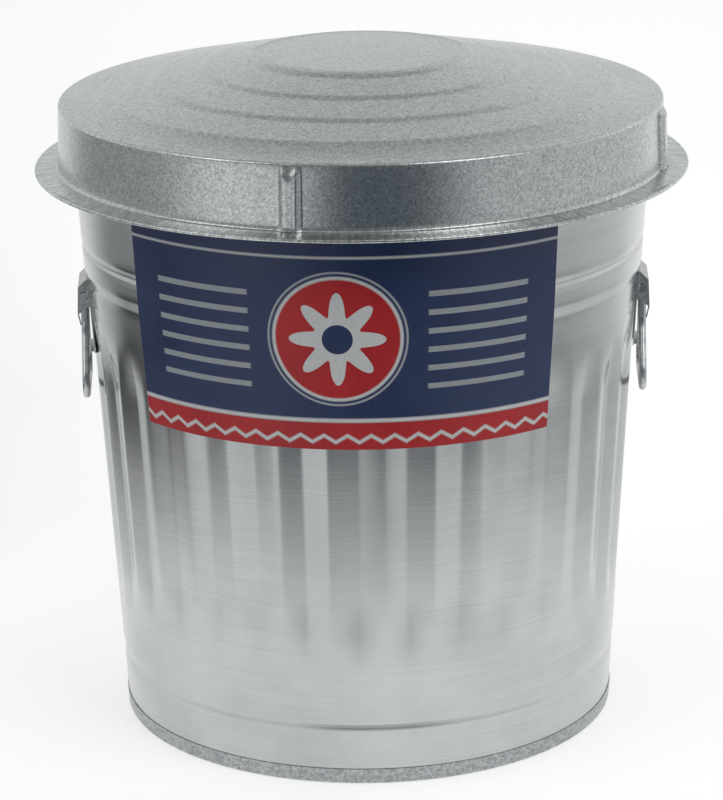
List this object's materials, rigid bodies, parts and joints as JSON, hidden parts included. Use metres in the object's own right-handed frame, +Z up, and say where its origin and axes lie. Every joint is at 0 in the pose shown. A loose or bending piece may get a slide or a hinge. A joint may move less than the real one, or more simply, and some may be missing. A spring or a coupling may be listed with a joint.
{
  "type": "galvanised storage can",
  "caption": "Tapered fluted galvanised steel storage can with a domed lift-off lid, wire bails hanging from riveted ears, a rolled rim, a folded bottom hem and a printed wrap label.",
  "frame": {"origin": "on the can's axis at floor level", "axes": "+Z up along the can's axis, the labelled front faces -Y, the bails are at about +X and -X"},
  "size_m": [0.4268, 0.4268, 0.4448],
  "materials": {
    "galvanised_wall": "satin zinc with faint drawn lines",
    "galvanised_spangle": "zinc with fine spangle",
    "steel_wire": "drawn wire, zinc coated",
    "printed_paper": "printed paper, navy and red"
  },
  "bodies": {
    "can": {"body_wall": "galvanised_wall", "rim_wire": "steel_wire", "bottom_pan": "galvanised_spangle", "label": "printed_paper", "left_ear": "galvanised_spangle", "left_ear_rivets": "steel_wire", "right_ear": "galvanised_spangle", "right_ear_rivets": "steel_wire"},
    "lid": {"lid": "galvanised_spangle"},
    "left_bail": {"left_bail": "steel_wire"},
    "right_bail": {"right_bail": "steel_wire"}
  },
  "joints": [
    {"name": "lid_lift", "type": "slide", "parent": "can", "child": "lid", "axis": [0, 0, 1], "range_m": [0, 0.15]},
    {"name": "left_bail_swing", "type": "hinge", "parent": "can", "child": "left_bail", "pos_m": [-0.18414, -0.00868, 0.28875], "axis": [-0.0471, 0.9989, 0], "range_deg": [0, 90]},
    {"name": "right_bail_swing", "type": "hinge", "parent": "can", "child": "right_bail", "pos_m": [0.18414, -0.00868, 0.28875], "axis": [-0.0471, -0.9989, 0], "range_deg": [0, 90]}
  ]
}
